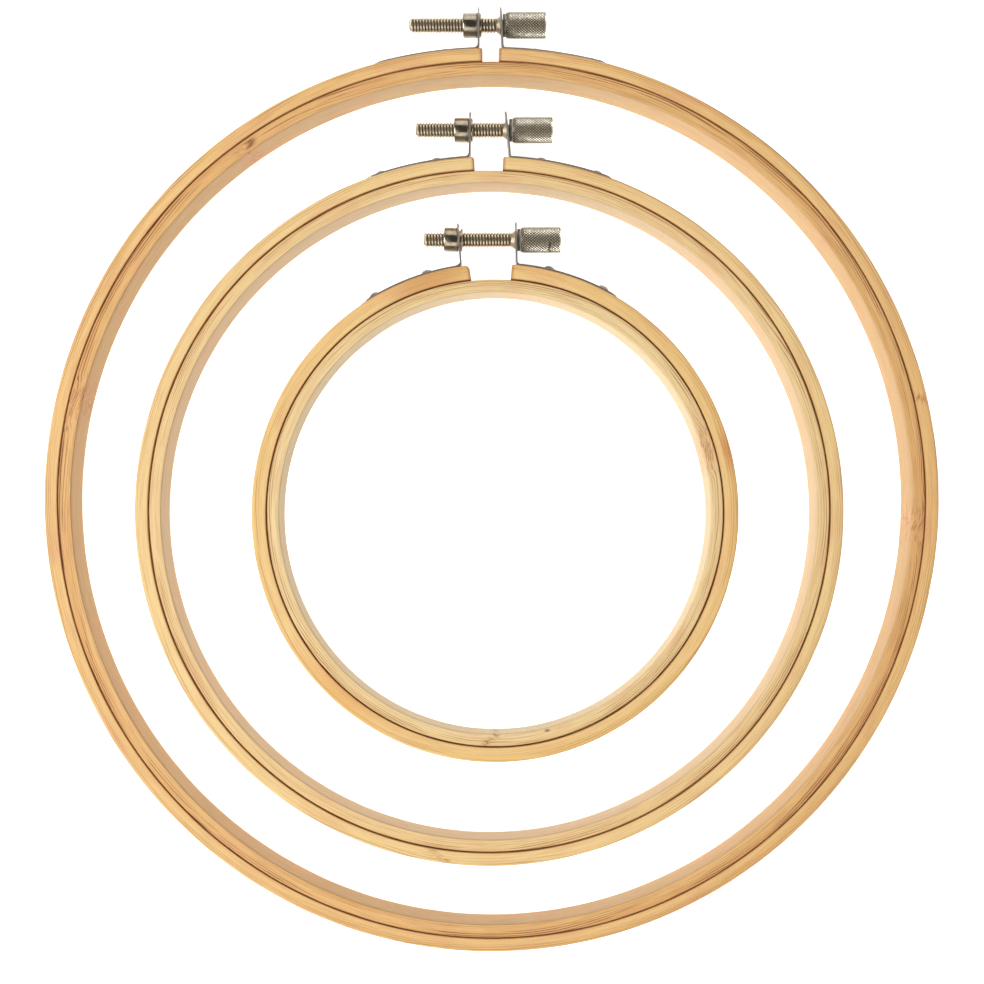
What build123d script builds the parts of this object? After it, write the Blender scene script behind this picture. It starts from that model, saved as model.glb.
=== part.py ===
from build123d import *
import math
import os
from dataclasses import dataclass

# A nesting set of three screw-clamped embroidery hoops, lying flat one inside another.
# Each hoop is a closed inner ring and a split outer ring of bent bamboo strip. Two sheet
# brackets are riveted beside the split, and a knurled thumb screw draws them together.
# Millimetres, +Z up. The origin is the centre of the large hoop on the surface that the
# set lies on, +Y points at the screws and +X at their knurled heads.

# Every ring is cut from strip of this width, which is the height of the set as it lies.
strip_width = 9.5

# Each hoop: the walls of its two rings and the radial slack between them, how far the split
# ring's ends stand from the middle line and its ears behind those ends, how far the screw's
# axis lies outside the ring, and how much higher than wide the hoop is, as a share.
# The large hoop's size drives the set: the outside diameter of its inner ring.
large_diameter = 228.6
large_inner_wall = 3.4
large_outer_wall = 3.4
large_slack = 0.35
large_left_gap = 2.5
large_right_gap = 2.0
large_left_setback = 0.7
large_right_setback = 0.45
large_screw_rise = 7.7
large_oval_share = 0.0052

# The middle hoop lies inside the large one, with room above its ears and below its ring.
middle_room_above = 8.45
middle_room_below = 15.3
middle_shift = -0.6
middle_inner_wall = 3.1
middle_outer_wall = 3.4
middle_slack = 0.45
middle_left_gap = 4.0
middle_right_gap = 3.65
middle_left_setback = 0.9
middle_right_setback = 1.1
middle_screw_rise = 8.3
middle_oval_share = 0.0005

# The small hoop lies inside the middle one in the same way.
small_room_above = 9.35
small_room_below = 20.35
small_shift = 1.5
small_inner_wall = 3.2
small_outer_wall = 3.8
small_slack = 0.4
small_left_gap = 6.8
small_right_gap = 4.5
small_left_setback = 2.3
small_right_setback = 0.9
small_screw_rise = 7.3
small_oval_share = 0.0115

# Rounding of a strip's long edges and of the split ends, as shares of the wall.
edge_round_share = 0.2
end_round_share = 0.36

# Sheet brackets: strap along the ring, bent up into a round-ended ear that runs past the screw.
sheet = 0.5
strap_width = 7.6
ear_reach = 4.6
strap_length = 28.5
strap_seat = 0.1
strap_end_round = 2.4
bend_radius = 0.9

# Rivets through each strap into the strip. Places are shares of the strap's length.
rivet_place_shares = (0.32, 0.85)
rivet_shank_radius = 0.8
rivet_head_radius = 1.75
rivet_dome = 1.0
rivet_depth_share = 0.8
rivet_clearance = 0.05

# Thumb screw: threaded rod, flared collar, neck in the ear, shank inside the head.
rod_radius = 1.95
thread_pitch = 0.8
thread_depth = 0.4
rod_length = 24.3
rod_tip_bevel = 0.4
flare_radius = 2.35
flare_length = 1.3
neck_radius = 1.5
neck_clearance = 0.06
axial_play = 0.06
shank_length = 8.0

# Knurled head on the screw.
head_radius = 3.4
head_length = 10.75
head_nose_length = 0.7
head_nose_drop = 0.4
head_bevel = 0.25
collar_radius = 2.9
collar_length = 0.75

# Barrel nut clinched in the other ear.
nut_radius = 3.2
nut_length = 3.9
nut_bevel = 0.3
nut_neck_radius = 2.5
nut_flange_radius = 3.05
nut_flange = 0.55
thread_clearance = 0.06

# One overrun serves all cuts.
overrun = 5.0


@dataclass
class Hoop:
    """One hoop of the set. Lengths are millimetres, and places are in the set's frame."""

    name: str
    radius: float            # mean outside radius of the inner ring
    oval: float              # how much the half height exceeds the radius
    centre_x: float
    centre_y: float
    inner_wall: float        # thickness of the inner ring's strip
    outer_wall: float        # thickness of the outer ring's strip
    slack: float             # radial gap between the two rings
    left_gap: float          # from the middle line to the left end of the split ring
    right_gap: float         # and to its right end
    left_setback: float      # from that end back to the left ear's face
    right_setback: float
    screw_rise: float        # from the outer ring's outside up to the screw's axis

    def half_axes(self, offset):
        """Half width and half height of the oval that lies `offset` outside the radius."""
        return self.radius + offset - self.oval, self.radius + offset + self.oval

    @property
    def outside(self):
        return self.slack + self.outer_wall

    @property
    def screw_y(self):
        return self.half_axes(self.outside)[1] + self.screw_rise

    @property
    def left_ear(self):
        return self.left_gap + self.left_setback

    @property
    def right_ear(self):
        return self.right_gap + self.right_setback


def nested_hoop(around, room_above, room_below, shift_x, oval_share, **sizes):
    """A hoop that lies inside another one, with named room above its ears and below it."""
    window_half = around.half_axes(-around.inner_wall)[1]
    ear_height = sizes["screw_rise"] + ear_reach
    half_height = window_half - (room_above + room_below + ear_height) / 2
    radius = (half_height - sizes["slack"] - sizes["outer_wall"]) / (1 + oval_share)
    centre_y = around.centre_y - window_half + room_below + half_height
    return Hoop(
        radius=radius, oval=radius * oval_share,
        centre_x=around.centre_x + shift_x, centre_y=centre_y, **sizes)


large = Hoop(
    name="large", radius=large_diameter / 2, oval=large_oval_share * large_diameter / 2,
    centre_x=0, centre_y=0,
    inner_wall=large_inner_wall, outer_wall=large_outer_wall, slack=large_slack,
    left_gap=large_left_gap, right_gap=large_right_gap,
    left_setback=large_left_setback, right_setback=large_right_setback,
    screw_rise=large_screw_rise)

middle = nested_hoop(
    large, middle_room_above, middle_room_below, middle_shift, middle_oval_share,
    name="middle",
    inner_wall=middle_inner_wall, outer_wall=middle_outer_wall, slack=middle_slack,
    left_gap=middle_left_gap, right_gap=middle_right_gap,
    left_setback=middle_left_setback, right_setback=middle_right_setback,
    screw_rise=middle_screw_rise)

small = nested_hoop(
    middle, small_room_above, small_room_below, small_shift, small_oval_share,
    name="small",
    inner_wall=small_inner_wall, outer_wall=small_outer_wall, slack=small_slack,
    left_gap=small_left_gap, right_gap=small_right_gap,
    left_setback=small_left_setback, right_setback=small_right_setback,
    screw_rise=small_screw_rise)


# Rings

def oval_band(hoop, inner_offset, outer_offset):
    """Upright strip between two ovals round the hoop's middle, with its long edges rounded."""
    inner_x, inner_y = hoop.half_axes(inner_offset)
    outer_x, outer_y = hoop.half_axes(outer_offset)
    band = extrude(Ellipse(outer_x, outer_y) - Ellipse(inner_x, inner_y), strip_width)
    long_edges = band.faces().sort_by(Axis.Z)[0].edges() + band.faces().sort_by(Axis.Z)[-1].edges()
    return fillet(long_edges, (outer_offset - inner_offset) * edge_round_share)


def inner_ring(hoop):
    return oval_band(hoop, -hoop.inner_wall, 0)


def split_cutter(hoop):
    """What is taken out at the split: ends along the ring's radii, outer corners rounded."""
    reach = hoop.half_axes(hoop.outside)[1]
    round_radius = hoop.outer_wall * end_round_share
    sides = []
    for side, gap in ((-1, hoop.left_gap), (1, hoop.right_gap)):
        turn = side * math.asin(gap / reach)
        outward = Vector(math.sin(turn), math.cos(turn))
        along = Vector(math.cos(turn), -math.sin(turn)) * side
        arc_start = outward * (reach - round_radius)
        arc_middle = arc_start + along * round_radius
        arc_end = arc_middle + outward * round_radius
        halfway = arc_middle + (outward - along).normalized() * round_radius
        far = arc_end + outward * overrun
        sides.append((arc_start, halfway, arc_end, far))
    left, right = sides
    outline = Polyline(left[2], left[3], right[3], right[2])
    outline += ThreePointArc(right[2], right[1], right[0])
    outline += Polyline(right[0], (0, 0), left[0])
    outline += ThreePointArc(left[0], left[1], left[2])
    return Pos(0, 0, -overrun) * extrude(make_face(outline), strip_width + 2 * overrun)


def outer_ring(hoop):
    hole_depth = hoop.outer_wall * rivet_depth_share + strap_seat + sheet + rivet_clearance
    hole = Pos(0, 0, -hole_depth) * Cylinder(
        rivet_shank_radius + rivet_clearance, hole_depth + overrun,
        align=(Align.CENTER, Align.CENTER, Align.MIN))
    holes = [seat * hole for side in (-1, 1) for seat in rivet_seats(hoop, side)]
    return oval_band(hoop, hoop.slack, hoop.outside) - [split_cutter(hoop), *holes]


# Brackets and rivets

def crown_circle(hoop, offset):
    """The circle that an oval follows near the split: its middle's y and its radius."""
    half_x, half_y = hoop.half_axes(offset)
    radius = half_x ** 2 / half_y
    return half_y - radius, radius


def place_along(hoop, offset, side, distance):
    """Point on an oval near the split, and its outward direction, a distance from the ear."""
    circle_y, radius = crown_circle(hoop, offset)
    ear = hoop.left_ear if side < 0 else hoop.right_ear
    turn = math.asin(ear / radius) + distance / radius
    outward = Vector(side * math.sin(turn), math.cos(turn))
    return Vector(0, circle_y) + outward * radius, outward


def rivet_seats(hoop, side):
    """Planes on the strap's outside, facing outwards, where the rivet heads sit."""
    outside = hoop.outside + strap_seat + sheet
    seats = []
    for share in rivet_place_shares:
        point, outward = place_along(hoop, outside, side, strap_length * share)
        origin = point + Vector(0, 0, strip_width / 2)
        seats.append(Plane(origin=origin, x_dir=(outward.Y, -outward.X, 0), z_dir=outward))
    return seats


def bracket_outline(hoop, side):
    """The bent sheet seen from above: a strap along the ring and an ear square to the screw."""
    inside = hoop.outside + strap_seat
    ear = hoop.left_ear if side < 0 else hoop.right_ear
    tip = hoop.screw_y + ear_reach

    def strap_points(offset):
        return [place_along(hoop, offset, side, strap_length * share)[0] for share in (1, 0.5)]

    def foot(offset, x):
        circle_y, radius = crown_circle(hoop, offset)
        return Vector(side * x, circle_y + math.sqrt(radius ** 2 - x ** 2))

    far_inside, middle_inside = strap_points(inside)
    far_outside, middle_outside = strap_points(inside + sheet)
    foot_inside = foot(inside, ear)
    foot_outside = foot(inside + sheet, ear + sheet)
    outline = ThreePointArc(foot_inside, middle_inside, far_inside)
    outline += Line(far_inside, far_outside)
    outline += ThreePointArc(far_outside, middle_outside, foot_outside)
    outline += Polyline(foot_outside, (side * (ear + sheet), tip), (side * ear, tip), foot_inside)
    face = make_face(outline)

    for place, radius in ((foot_inside, bend_radius + sheet), (foot_outside, bend_radius)):
        corner = min(face.vertices(), key=lambda vertex: (Vector(vertex) - place).length)
        face = fillet(corner, radius)
    return face


def strap_end_cutter(hoop, side):
    """What is taken off the two corners of the strap's far end."""
    far_end, outward = place_along(hoop, hoop.outside + strap_seat, side, strap_length)
    origin = far_end + Vector(0, 0, strip_width / 2)
    tangent_plane = Plane(origin=origin, x_dir=(0, 0, 1), z_dir=outward)
    strap_end = Pos(0, -side * strap_length / 2) * RectangleRounded(
        strap_width, strap_length, strap_end_round)
    corners = Rectangle(2 * strap_width, 2 * strap_end_round) - strap_end
    return extrude(tangent_plane * corners, overrun, both=True)


def bracket(hoop, side, hole_radius):
    """Sheet bracket on one side of the split: side is -1 for the left one, 1 for the right."""
    low = (strip_width - strap_width) / 2
    part = Pos(0, 0, low) * extrude(bracket_outline(hoop, side), strap_width)
    part -= strap_end_cutter(hoop, side)

    axis = Plane(origin=(0, hoop.screw_y, strip_width / 2), x_dir=(0, 1, 0), z_dir=(1, 0, 0))
    reach = 2 * (hoop.left_ear + hoop.right_ear)
    above = Pos(strap_width / 2, 0) * Rectangle(strap_width, 2 * strap_width)
    round_centre = Pos(ear_reach - strap_width / 2, 0)
    part -= extrude(axis * round_centre * (above - Circle(strap_width / 2)), reach, both=True)
    part -= extrude(axis * Circle(hole_radius), reach, both=True)
    for seat in rivet_seats(hoop, side):
        part -= seat * Cylinder(rivet_shank_radius + rivet_clearance, 2 * overrun)
    return part


def rivet(hoop):
    """Domed rivet: the plane z = 0 is under its head, and the shank runs down."""
    depth = hoop.outer_wall * rivet_depth_share + strap_seat + sheet
    foot = (rivet_shank_radius, -depth)
    neck = (rivet_shank_radius, 0)
    rim = (rivet_head_radius, 0)
    crown = (0, rivet_dome)
    dome_radius = (rivet_head_radius ** 2 + rivet_dome ** 2) / (2 * rivet_dome)
    lean = math.asin(rivet_head_radius / dome_radius) / 2
    shoulder = (dome_radius * math.sin(lean), dome_radius * math.cos(lean) - dome_radius + rivet_dome)
    outline = Polyline(crown, (0, -depth), foot, neck, rim)
    outline += ThreePointArc(rim, shoulder, crown)
    return revolve(Plane.XZ * make_face(outline), Axis.Z)


def rivets(hoop, side):
    first, *others = [seat * rivet(hoop) for seat in rivet_seats(hoop, side)]
    return first + others


# Screw and nut, turned about the X axis

def turned(hoop, outline_points):
    """A solid turned about the screw's axis from points given as (x, radius)."""
    outline = make_face(Polyline(*outline_points, close=True))
    return Pos(0, hoop.screw_y, strip_width / 2) * revolve(outline, Axis.X)


def barrel_nut(hoop):
    ear = -hoop.left_ear
    bore = rod_radius + thread_clearance
    back = ear - sheet
    start = back - nut_length
    return turned(hoop, [
        (start, bore), (start, nut_radius - nut_bevel),
        (start + nut_bevel, nut_radius), (back, nut_radius),
        (back, nut_neck_radius), (ear, nut_neck_radius),
        (ear, nut_flange_radius), (ear + nut_flange / 2, nut_flange_radius),
        (ear + nut_flange, nut_flange_radius - nut_flange / 2), (ear + nut_flange, bore)])


def thread_outline(start, end):
    """Ridges from start to end, one for each pitch."""
    points = []
    count = int((end - start) / thread_pitch)
    for turn in range(count):
        root = start + turn * thread_pitch
        points.append((root, rod_radius - thread_depth))
        points.append((root + thread_pitch / 2, rod_radius))
    return points


def threaded_rod(hoop):
    ear = hoop.right_ear
    tip = ear - rod_length
    flare_end = ear - axial_play
    flare_start = flare_end - flare_length
    root_radius = rod_radius - thread_depth
    shank_end = ear + sheet + axial_play + collar_length + shank_length
    outline = [(tip, 0), (tip, root_radius - rod_tip_bevel / 2)]
    outline += thread_outline(tip + rod_tip_bevel, flare_start)
    outline += [
        (flare_start, root_radius), (flare_start + flare_length / 2, rod_radius),
        (flare_end - flare_length / 6, flare_radius), (flare_end, flare_radius),
        (flare_end, neck_radius), (shank_end, neck_radius), (shank_end, 0)]
    return turned(hoop, outline)


def knurled_head(hoop):
    start = hoop.right_ear + sheet + axial_play
    body = start + collar_length
    end = body + head_length
    shank_end = body + shank_length
    return turned(hoop, [
        (start, neck_radius), (start, collar_radius), (body, collar_radius),
        (body, head_radius - head_nose_drop), (body + head_nose_length, head_radius),
        (end - head_bevel, head_radius), (end, head_radius - head_bevel), (end, 0),
        (shank_end, 0), (shank_end, neck_radius)])


def hoop_pieces(hoop):
    """All pieces of one hoop, in the hoop's own middle."""
    return {
        "inner_ring": inner_ring(hoop),
        "outer_ring": outer_ring(hoop),
        "left_bracket": bracket(hoop, -1, nut_neck_radius),
        "right_bracket": bracket(hoop, 1, neck_radius + neck_clearance),
        "left_rivets": rivets(hoop, -1),
        "right_rivets": rivets(hoop, 1),
        "barrel_nut": barrel_nut(hoop),
        "threaded_rod": threaded_rod(hoop),
        "knurled_head": knurled_head(hoop),
    }


os.makedirs("parts", exist_ok=True)
for hoop in (large, middle, small):
    place = Pos(hoop.centre_x, hoop.centre_y, 0)
    for piece_name, piece in hoop_pieces(hoop).items():
        export_step(place * piece, f"parts/{hoop.name}_{piece_name}.step")
    print(
        f"{hoop.name}: radius {hoop.radius:.2f}, centre {hoop.centre_x:.2f} {hoop.centre_y:.2f},"
        f" outside {hoop.half_axes(hoop.outside)[1]:.2f}, screw y {hoop.centre_y + hoop.screw_y:.2f},"
        f" left ear {-hoop.left_ear:.2f}, right ear {hoop.right_ear:.2f}")
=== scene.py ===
# %% [markdown]
# Nesting embroidery hoops. Three bamboo hoops lie one inside another on a white table, seen
# from straight above. Each has a closed inner ring, a split outer ring, two sheet brackets
# riveted beside the split, a barrel nut and a thumb screw. The solid model gives every place
# and size, so each piece below is modelled straight onto its own solid.

# %% Load the solid model
import bmesh
import bpy
import math
from mathutils import Matrix, Vector


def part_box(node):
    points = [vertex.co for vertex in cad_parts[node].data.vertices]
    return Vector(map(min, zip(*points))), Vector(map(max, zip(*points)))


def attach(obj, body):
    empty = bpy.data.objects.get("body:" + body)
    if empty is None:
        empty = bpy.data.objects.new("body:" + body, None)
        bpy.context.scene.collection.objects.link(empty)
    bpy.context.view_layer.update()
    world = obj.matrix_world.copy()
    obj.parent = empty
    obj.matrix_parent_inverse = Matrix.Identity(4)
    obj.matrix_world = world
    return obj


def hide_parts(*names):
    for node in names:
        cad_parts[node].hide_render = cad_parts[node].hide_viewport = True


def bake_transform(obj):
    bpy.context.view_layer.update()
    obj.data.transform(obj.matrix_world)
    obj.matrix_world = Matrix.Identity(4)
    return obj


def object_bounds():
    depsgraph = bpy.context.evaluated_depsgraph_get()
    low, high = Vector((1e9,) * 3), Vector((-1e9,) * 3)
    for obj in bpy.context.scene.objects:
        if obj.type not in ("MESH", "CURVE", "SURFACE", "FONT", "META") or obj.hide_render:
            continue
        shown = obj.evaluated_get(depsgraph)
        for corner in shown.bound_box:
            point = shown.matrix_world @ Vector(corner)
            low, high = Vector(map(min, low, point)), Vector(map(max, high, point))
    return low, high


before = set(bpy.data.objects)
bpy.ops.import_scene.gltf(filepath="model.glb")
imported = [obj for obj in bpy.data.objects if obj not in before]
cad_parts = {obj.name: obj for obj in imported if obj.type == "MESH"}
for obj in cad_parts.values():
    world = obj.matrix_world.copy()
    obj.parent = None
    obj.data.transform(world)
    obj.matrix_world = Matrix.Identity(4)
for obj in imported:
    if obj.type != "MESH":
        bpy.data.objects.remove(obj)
solid_low, solid_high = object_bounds()

MM = 0.001
ACROSS = Vector((1, 0, 0))
UP = Vector((0, 0, 1))

# %% [markdown]
# The photograph was taken with the lens a little over 30 cm above the rings, so their inner
# walls show all round. The point straight below the lens lies slightly under the middle of
# the picture. Tilting the camera would show that too, but it would squeeze the outlines of the
# hoops. A small upward shift of the lens leaves them true.

# %% Camera
PICTURE = 984
LENS_ABOVE_TOP = 330 * MM
MM_PER_PIXEL = 0.2623 * MM
BELOW_LENS = (492, 540)
BELOW_LENS_PLACE = Vector((0.115 * MM, -10.57 * MM))

top = solid_high.z
camera_data = bpy.data.cameras.new("overhead_camera")
camera_data.sensor_width = 36
camera_data.lens = 36 * LENS_ABOVE_TOP / (PICTURE * MM_PER_PIXEL)
camera_data.shift_x = (PICTURE / 2 - BELOW_LENS[0]) / PICTURE
camera_data.shift_y = (BELOW_LENS[1] - PICTURE / 2) / PICTURE
camera = bpy.data.objects.new("overhead_camera", camera_data)
camera.location = (*BELOW_LENS_PLACE, top + LENS_ABOVE_TOP)
bpy.context.scene.collection.objects.link(camera)
bpy.context.scene.camera = camera
print("lens", round(camera_data.lens, 1), "mm, shift", round(camera_data.shift_y, 3))

# %% [markdown]
# Every piece starts as a Blender primitive and is shaped with edit-mode operators. These
# short helpers open a primitive for editing, pick vertices, edges or faces by where they
# are, and close the piece again with its place in its mesh.

# %% Helpers for modelling
MERGE_WITHIN = 0.002 * MM


def clear_selection():
    if bpy.context.mode != "OBJECT":
        bpy.ops.object.mode_set(mode="OBJECT")
    bpy.ops.object.select_all(action="DESELECT")


def open_piece(name):
    """Names the primitive that was just added and opens it with its place in its mesh."""
    piece = bpy.context.object
    piece.name = name
    piece.data.name = name
    bpy.ops.object.transform_apply(location=True, rotation=True, scale=True)
    bpy.ops.object.mode_set(mode="EDIT")
    return piece


def pick(kind, test):
    """Selects the vertices, edges or faces whose middle passes the test."""
    bpy.ops.mesh.select_mode(type=kind)
    bpy.ops.mesh.select_all(action="DESELECT")
    mesh = bmesh.from_edit_mesh(bpy.context.object.data)
    for part in {"VERT": mesh.verts, "EDGE": mesh.edges, "FACE": mesh.faces}[kind]:
        if kind == "VERT":
            middle = part.co
        elif kind == "EDGE":
            middle = (part.verts[0].co + part.verts[1].co) / 2
        else:
            middle = part.calc_center_median()
        if test(middle):
            part.select_set(True)
    mesh.select_flush_mode()
    bmesh.update_edit_mesh(bpy.context.object.data)


def select_all_parts():
    bpy.ops.mesh.select_all(action="SELECT")


def move_selected(x=0, y=0, z=0):
    bpy.ops.transform.translate(value=(x, y, z))


def scale_selected(x=1, y=1, z=1, about=(0, 0, 0)):
    bpy.ops.transform.resize(value=(x, y, z), center_override=about)


def extrude_selected(x=0, z=0):
    """Extrudes the selection and moves what is new."""
    bpy.ops.mesh.extrude_region_move(TRANSFORM_OT_translate={"value": (x, 0, z)})


def merge_doubles():
    bpy.ops.mesh.remove_doubles(threshold=MERGE_WITHIN)


def close_piece(smooth_angle=35):
    """Merges doubles, points the faces outwards and shades the piece."""
    select_all_parts()
    merge_doubles()
    bpy.ops.mesh.normals_make_consistent(inside=False)
    bpy.ops.object.mode_set(mode="OBJECT")
    bpy.ops.object.shade_smooth_by_angle(angle=math.radians(smooth_angle))
    return bpy.context.object


def add_modifier(piece, kind, **settings):
    """Adds a modifier with these settings and applies it."""
    modifier = piece.modifiers.new(kind.title(), kind)
    for key, value in settings.items():
        setattr(modifier, key, value)
    bpy.ops.object.modifier_apply(modifier=modifier.name)


def join_onto(piece, part):
    """Makes the part one piece with the piece it belongs to."""
    clear_selection()
    part.select_set(True)
    piece.select_set(True)
    bpy.context.view_layer.objects.active = piece
    bpy.ops.object.join()


def turned(name, middle, steps, sides=64):
    """A piece turned about an axis along X: a disc drawn out through (x, radius) steps."""
    first_x, first_radius = steps[0]
    clear_selection()
    bpy.ops.mesh.primitive_circle_add(
        vertices=sides, radius=first_radius, fill_type="NGON",
        location=(first_x, middle.y, middle.z), rotation=(0, math.pi / 2, 0))
    piece = open_piece(name)
    select_all_parts()
    for (x, radius), (next_x, next_radius) in zip(steps, steps[1:]):
        extrude_selected(x=next_x - x)
        grow = next_radius / radius
        scale_selected(y=grow, z=grow, about=(next_x, middle.y, middle.z))
    return piece


# %% [markdown]
# The sizes of each hoop come from the solids: the oval from the box round its inner ring,
# the split and the screw from the boxes of its brackets and hardware. Only what a box can't
# show is repeated here: the walls of the strips, and the straps' thickness and length.

# %% Read each hoop from its solids
SHEET = 0.5 * MM
STRAP_SEAT = 0.1 * MM
STRAP_LENGTH = 28.5 * MM
INNER_WALLS = {"large": 3.4 * MM, "middle": 3.1 * MM, "small": 3.2 * MM}
OUTER_WALLS = {"large": 3.4 * MM, "middle": 3.4 * MM, "small": 3.8 * MM}
LEFT, RIGHT = -1, 1
SIDE_NAMES = {LEFT: "left", RIGHT: "right"}


class Hoop:
    """Where one hoop lies and how large it is, in metres."""

    def __init__(self, name):
        self.name = name
        ring_low, ring_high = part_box(f"{name}_inner_ring")
        outer_low, outer_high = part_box(f"{name}_outer_ring")
        self.middle = Vector(((ring_low.x + ring_high.x) / 2, (ring_low.y + ring_high.y) / 2, 0))
        half_width = (ring_high.x - ring_low.x) / 2
        half_height = (ring_high.y - ring_low.y) / 2
        self.radius = (half_width + half_height) / 2
        self.oval = (half_height - half_width) / 2
        self.inner_wall = INNER_WALLS[name]
        self.outer_wall = OUTER_WALLS[name]
        self.outside = (outer_high.x - outer_low.x) / 2 + self.oval - self.radius
        self.slack = self.outside - self.outer_wall
        self.height = ring_high.z
        self.ears = {
            LEFT: self.middle.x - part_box(f"{name}_left_bracket")[1].x,
            RIGHT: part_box(f"{name}_right_bracket")[0].x - self.middle.x}
        self.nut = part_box(f"{name}_barrel_nut")
        self.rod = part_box(f"{name}_threaded_rod")
        self.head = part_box(f"{name}_knurled_head")
        self.screw = Vector((0, (self.head[0].y + self.head[1].y) / 2, self.height / 2))

    def half_axes(self, offset):
        """Half the width and half the height of the oval this far outside the inner ring."""
        return self.radius + offset - self.oval, self.radius + offset + self.oval


def in_mm(values):
    return [round(value / MM, 2) for value in values]


hoops = {name: Hoop(name) for name in ("large", "middle", "small")}
halves = [(name, side) for name in hoops for side in SIDE_NAMES]
for hoop in hoops.values():
    print(hoop.name, "radius", in_mm([hoop.radius]), "slack", in_mm([hoop.slack]),
          "ears", in_mm(hoop.ears.values()))

# %% [markdown]
# Grain runs along the bent strip, so the finishes need to know where a point lies in it: how
# deep in the wall, how high, and how far from the split. They could work that out from the
# point's place in space, but then the grain would slide when the split is sprung open. Here a
# ring stores it on its own vertices. The direction round the hoop is kept as a pair of sine and
# cosine, which has no seam.

# %% Note the strip's own coordinates
def note_strip(piece, hoop, inner_offset, split_turns=None):
    """Stores the direction round the hoop and the place in the strip's section, in mm."""
    round_note = piece.data.attributes.new("round_the_hoop", "FLOAT_VECTOR", "POINT")
    section_note = piece.data.attributes.new("in_the_strip", "FLOAT_VECTOR", "POINT")
    lean = hoop.oval / hoop.radius
    for vertex in piece.data.vertices:
        x = (vertex.co.x - hoop.middle.x) / (1 - lean)
        y = (vertex.co.y - hoop.middle.y) / (1 + lean)
        reach = math.hypot(x, y)
        depth = reach - hoop.radius - inner_offset
        from_end = 1.0
        if split_turns is not None:
            turn = math.atan2(abs(x), y)
            from_end = reach * (turn - split_turns)
        round_note.data[vertex.index].vector = (x / reach, y / reach, 0)
        section_note.data[vertex.index].vector = (depth / MM, vertex.co.z / MM, from_end / MM)


# %% [markdown]
# Each ring is a strip of split bamboo, planed and steamed round a form. A torus would be
# quicker to add, but its section is round. Here one flat section is spun about the middle of
# the hoop. It is a plane with its corners bevelled: nearly sharp where the two rings meet, so
# that they grip the cloth, and soft where a hand holds them. A slight displacement afterwards
# takes away the look of a machined ring.

# %% Section of a bamboo strip
GRIP_EDGE = 0.16 * MM
HAND_EDGE = 0.35 * MM
RIM_EDGE = 0.55 * MM
EDGE_CUTS = 5


def strip_section(name, hoop, inner_offset, outer_offset, inner_edge, outer_edge):
    """A rounded section of the strip at the bottom of the hoop, open for editing."""
    clear_selection()
    wall = outer_offset - inner_offset
    reach = hoop.radius + (inner_offset + outer_offset) / 2
    centre = Vector((hoop.middle.x, hoop.middle.y - reach, hoop.height / 2))
    bpy.ops.mesh.primitive_plane_add(size=1, location=centre, rotation=(0, math.pi / 2, 0))
    piece = open_piece(name)
    select_all_parts()
    scale_selected(y=wall, z=hoop.height, about=centre)
    for edge, towards_middle in ((inner_edge, True), (outer_edge, False)):
        pick("VERT", lambda at: (at.y > centre.y) == towards_middle)
        bpy.ops.mesh.bevel(offset=edge, segments=EDGE_CUTS, affect="VERTICES")
    pick("EDGE", lambda at: min(abs(at.y - centre.y), abs(at.z - centre.z)) < wall / 10)
    bpy.ops.mesh.subdivide(number_cuts=EDGE_CUTS)
    select_all_parts()
    bpy.ops.mesh.delete(type="ONLY_FACE")
    select_all_parts()
    return piece


GRAIN_CLOUDS = bpy.data.textures.new("strip_unevenness", "CLOUDS")
GRAIN_CLOUDS.noise_scale = 9 * MM
UNEVENNESS = 0.09 * MM


def weather(piece):
    """Makes the planed strip slightly uneven, by less than a fingernail can feel."""
    add_modifier(piece, "DISPLACE", texture=GRAIN_CLOUDS, texture_coords="LOCAL",
                 strength=UNEVENNESS, mid_level=0.5)


def make_oval(hoop):
    """Draws the open mesh from a circle into the hoop's slight oval."""
    lean = hoop.oval / hoop.radius
    select_all_parts()
    scale_selected(x=1 - lean, y=1 + lean, about=hoop.middle)


# %% [markdown]
# The inner ring is one strip whose ends are glued, so it has no gap. A straight bar could be
# bent round with a curve, but its two ends would rarely meet. A section that is spun a whole
# turn always does, because the last copy merges with the first.

# %% Inner rings
RING_STEPS = 400


def inner_ring(hoop):
    name = f"{hoop.name}_inner_hoop"
    piece = strip_section(name, hoop, -hoop.inner_wall, 0, HAND_EDGE, GRIP_EDGE)
    bpy.ops.mesh.spin(
        steps=RING_STEPS, angle=2 * math.pi, use_auto_merge=True, center=hoop.middle, axis=UP)
    make_oval(hoop)
    close_piece()
    weather(piece)
    note_strip(piece, hoop, -hoop.inner_wall)
    return piece


inner_rings = {name: inner_ring(hoop) for name, hoop in hoops.items()}
print("inner ring faces", [len(ring.data.polygons) for ring in inner_rings.values()])

# %% [markdown]
# The outer ring is split at the top. When the screw is slackened its left half springs away,
# so the ring is made as two halves that meet at the bottom, where nothing moves. Each half is
# spun from the bottom up to its end of the split, and the outer corner of that end is rounded
# by drawing the last sections in, as sandpaper leaves it. Each end was sanded by hand, so each
# has a rounding of its own.

# %% Outer rings
END_STEPS = 6
END_EASE = 0.22 * MM
SPLIT_ENDS = {
    ("large", LEFT): 2.5 * MM, ("large", RIGHT): 2.0 * MM,
    ("middle", LEFT): 4.0 * MM, ("middle", RIGHT): 3.65 * MM,
    ("small", LEFT): 6.8 * MM, ("small", RIGHT): 4.5 * MM}
END_ROUNDS = {
    ("large", LEFT): 0.35 * MM, ("large", RIGHT): 0.3 * MM,
    ("middle", LEFT): 0.8 * MM, ("middle", RIGHT): 0.5 * MM,
    ("small", LEFT): 1.5 * MM, ("small", RIGHT): 0.6 * MM}


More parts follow.
